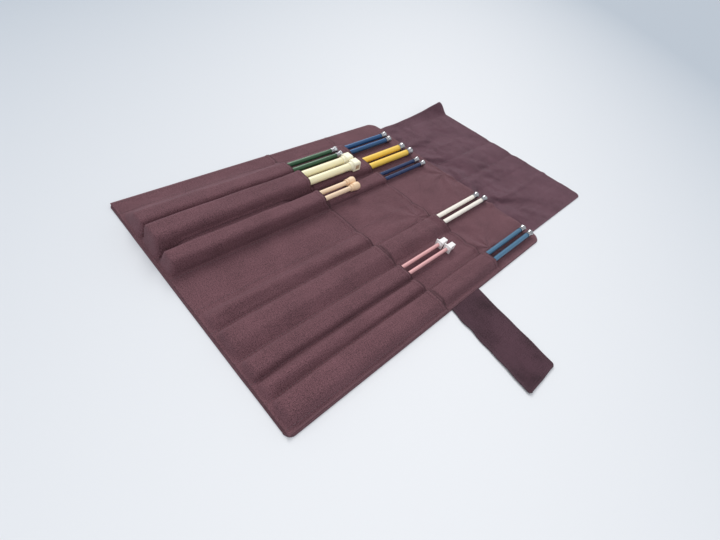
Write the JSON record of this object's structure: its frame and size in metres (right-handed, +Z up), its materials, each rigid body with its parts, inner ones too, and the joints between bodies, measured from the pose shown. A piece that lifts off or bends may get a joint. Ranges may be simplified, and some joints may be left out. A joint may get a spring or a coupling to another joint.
{
  "type": "knitting needle case",
  "caption": "Folding cloth case with stitched two-row pockets, end flap and strap, lying open, holding pairs of knitting needles of mixed sizes",
  "frame": {"origin": "middle of the open case's footprint, on the table under it", "axes": "+X to the strap side, +Y from the closed pocket ends to the flap, +Z up from the table"},
  "size_m": [0.398, 0.522, 0.0252],
  "materials": {
    "cover_cloth": "matt plum-brown woven cloth",
    "pocket_cloth": "matt plum-brown woven cloth, fine weave",
    "flap_cloth": "matt plum-brown woven cloth",
    "strap_cloth": "matt plum-brown woven cloth",
    "cap_metal": "satin pale grey cap",
    "blue_shaft": "semi-gloss mid blue anodised look",
    "yellow_shaft": "semi-gloss golden yellow",
    "navy_shaft": "semi-gloss dark navy",
    "cream_shaft": "semi-gloss pale cream",
    "teal_shaft": "semi-gloss grey teal blue",
    "green_shaft": "semi-gloss mid green",
    "ivory_shaft": "smooth warm ivory",
    "ivory_head": "smooth warm ivory with a brownish end",
    "tan_shaft": "smooth pale wood",
    "tan_head": "smooth turned pale wood",
    "pink_shaft": "semi-gloss salmon pink",
    "white_plastic": "smooth white plastic"
  },
  "bodies": {
    "left_panel": {"cover_left": "cover_cloth", "lining_left": "pocket_cloth", "rear_pocket_left": "pocket_cloth", "front_pocket_left": "pocket_cloth"},
    "spine": {"cover_spine": "cover_cloth", "lining_spine": "pocket_cloth", "rear_pocket_spine": "pocket_cloth", "front_pocket_spine": "pocket_cloth"},
    "right_panel": {"cover_right": "cover_cloth", "lining_right": "pocket_cloth", "rear_pocket_right": "pocket_cloth", "front_pocket_right": "pocket_cloth", "strap_root": "strap_cloth"},
    "flap_left_sheet": {"flap_left": "flap_cloth"},
    "flap_spine_sheet": {"flap_spine": "flap_cloth"},
    "flap_right_sheet": {"flap_right": "flap_cloth"},
    "strap_riser_length": {"strap_riser": "strap_cloth"},
    "strap_tip_length": {"strap_tip": "strap_cloth"},
    "blue_needle_1": {"blue_shaft_1": "blue_shaft", "blue_head_1": "cap_metal"},
    "blue_needle_2": {"blue_shaft_2": "blue_shaft", "blue_head_2": "cap_metal"},
    "yellow_needle_1": {"yellow_shaft_1": "yellow_shaft", "yellow_head_1": "cap_metal"},
    "yellow_needle_2": {"yellow_shaft_2": "yellow_shaft", "yellow_head_2": "cap_metal"},
    "navy_needle_1": {"navy_shaft_1": "navy_shaft", "navy_head_1": "cap_metal"},
    "navy_needle_2": {"navy_shaft_2": "navy_shaft", "navy_head_2": "cap_metal"},
    "green_needle_1": {"green_shaft_1": "green_shaft", "green_head_1": "cap_metal"},
    "green_needle_2": {"green_shaft_2": "green_shaft", "green_head_2": "cap_metal"},
    "ivory_needle_1": {"ivory_shaft_1": "ivory_shaft", "ivory_head_1": "ivory_head"},
    "ivory_needle_2": {"ivory_shaft_2": "ivory_shaft", "ivory_head_2": "ivory_head"},
    "tan_needle_1": {"tan_shaft_1": "tan_shaft", "tan_head_1": "tan_head"},
    "tan_needle_2": {"tan_shaft_2": "tan_shaft", "tan_head_2": "tan_head"},
    "cream_needle_1": {"cream_shaft_1": "cream_shaft", "cream_head_1": "cap_metal"},
    "cream_needle_2": {"cream_shaft_2": "cream_shaft", "cream_head_2": "cap_metal"},
    "teal_needle_1": {"teal_shaft_1": "teal_shaft", "teal_head_1": "cap_metal"},
    "teal_needle_2": {"teal_shaft_2": "teal_shaft", "teal_head_2": "cap_metal"},
    "pink_needle_1": {"pink_shaft_1": "pink_shaft", "pink_head_1": "white_plastic"},
    "pink_needle_2": {"pink_shaft_2": "pink_shaft", "pink_head_2": "white_plastic"}
  },
  "joints": [
    {"name": "spine_fold", "type": "hinge", "parent": "right_panel", "child": "spine", "pos_m": [-0.031, -0.0725, 0], "axis": [0, 1, 0], "range_deg": [0, 90]},
    {"name": "left_fold", "type": "hinge", "parent": "spine", "child": "left_panel", "pos_m": [-0.0725, -0.0725, 0], "axis": [0, 1, 0], "range_deg": [0, 90]},
    {"name": "flap_fold", "type": "hinge", "parent": "right_panel", "child": "flap_right_sheet", "pos_m": [0.029, 0.117, 0.0138], "axis": [-1, 0, 0], "range_deg": [-180, 0]},
    {"name": "flap_fold_spine", "type": "hinge", "parent": "spine", "child": "flap_spine_sheet", "pos_m": [-0.052, 0.117, 0.0138], "axis": [-1, 0, 0], "range_deg": [-180, 0]},
    {"name": "flap_fold_left", "type": "hinge", "parent": "left_panel", "child": "flap_left_sheet", "pos_m": [-0.128, 0.117, 0.0138], "axis": [-1, 0, 0], "range_deg": [-180, 0]},
    {"name": "strap_wrap", "type": "hinge", "parent": "right_panel", "child": "strap_riser_length", "pos_m": [0.1029, -0.045, 0], "axis": [0, -1, 0], "range_deg": [0, 90]},
    {"name": "strap_over", "type": "hinge", "parent": "strap_riser_length", "child": "strap_tip_length", "pos_m": [0.1469, -0.052, 0], "axis": [0, -1, 0], "range_deg": [0, 90]},
    {"name": "blue_slide_1", "type": "slide", "parent": "left_panel", "child": "blue_needle_1", "axis": [0, 1, 0], "range_m": [0, 0.28]},
    {"name": "blue_slide_2", "type": "slide", "parent": "left_panel", "child": "blue_needle_2", "axis": [0, 1, 0], "range_m": [0, 0.28]},
    {"name": "yellow_slide_1", "type": "slide", "parent": "left_panel", "child": "yellow_needle_1", "axis": [0, 1, 0], "range_m": [0, 0.28]},
    {"name": "yellow_slide_2", "type": "slide", "parent": "left_panel", "child": "yellow_needle_2", "axis": [0, 1, 0], "range_m": [0, 0.28]},
    {"name": "navy_slide_1", "type": "slide", "parent": "left_panel", "child": "navy_needle_1", "axis": [0, 1, 0], "range_m": [0, 0.28]},
    {"name": "navy_slide_2", "type": "slide", "parent": "left_panel", "child": "navy_needle_2", "axis": [0, 1, 0], "range_m": [0, 0.28]},
    {"name": "green_slide_1", "type": "slide", "parent": "left_panel", "child": "green_needle_1", "axis": [0, 1, 0], "range_m": [0, 0.18]},
    {"name": "green_slide_2", "type": "slide", "parent": "left_panel", "child": "green_needle_2", "axis": [0, 1, 0], "range_m": [0, 0.18]},
    {"name": "ivory_slide_1", "type": "slide", "parent": "left_panel", "child": "ivory_needle_1", "axis": [0, 1, 0], "range_m": [0, 0.18]},
    {"name": "ivory_slide_2", "type": "slide", "parent": "left_panel", "child": "ivory_needle_2", "axis": [0, 1, 0], "range_m": [0, 0.18]},
    {"name": "tan_slide_1", "type": "slide", "parent": "left_panel", "child": "tan_needle_1", "axis": [0, 1, 0], "range_m": [0, 0.18]},
    {"name": "tan_slide_2", "type": "slide", "parent": "left_panel", "child": "tan_needle_2", "axis": [0, 1, 0], "range_m": [0, 0.18]},
    {"name": "cream_slide_1", "type": "slide", "parent": "right_panel", "child": "cream_needle_1", "axis": [0, 1, 0], "range_m": [0, 0.28]},
    {"name": "cream_slide_2", "type": "slide", "parent": "right_panel", "child": "cream_needle_2", "axis": [0, 1, 0], "range_m": [0, 0.28]},
    {"name": "teal_slide_1", "type": "slide", "parent": "right_panel", "child": "teal_needle_1", "axis": [0, 1, 0], "range_m": [0, 0.28]},
    {"name": "teal_slide_2", "type": "slide", "parent": "right_panel", "child": "teal_needle_2", "axis": [0, 1, 0], "range_m": [0, 0.28]},
    {"name": "pink_slide_1", "type": "slide", "parent": "right_panel", "child": "pink_needle_1", "axis": [0, 1, 0], "range_m": [0, 0.18]},
    {"name": "pink_slide_2", "type": "slide", "parent": "right_panel", "child": "pink_needle_2", "axis": [0, 1, 0], "range_m": [0, 0.18]}
  ],
  "couplings": [
    {"joint": "left_fold", "follows": "spine_fold", "ratio": 1},
    {"joint": "flap_fold_spine", "follows": "flap_fold", "ratio": 1},
    {"joint": "flap_fold_left", "follows": "flap_fold", "ratio": 1}
  ]
}
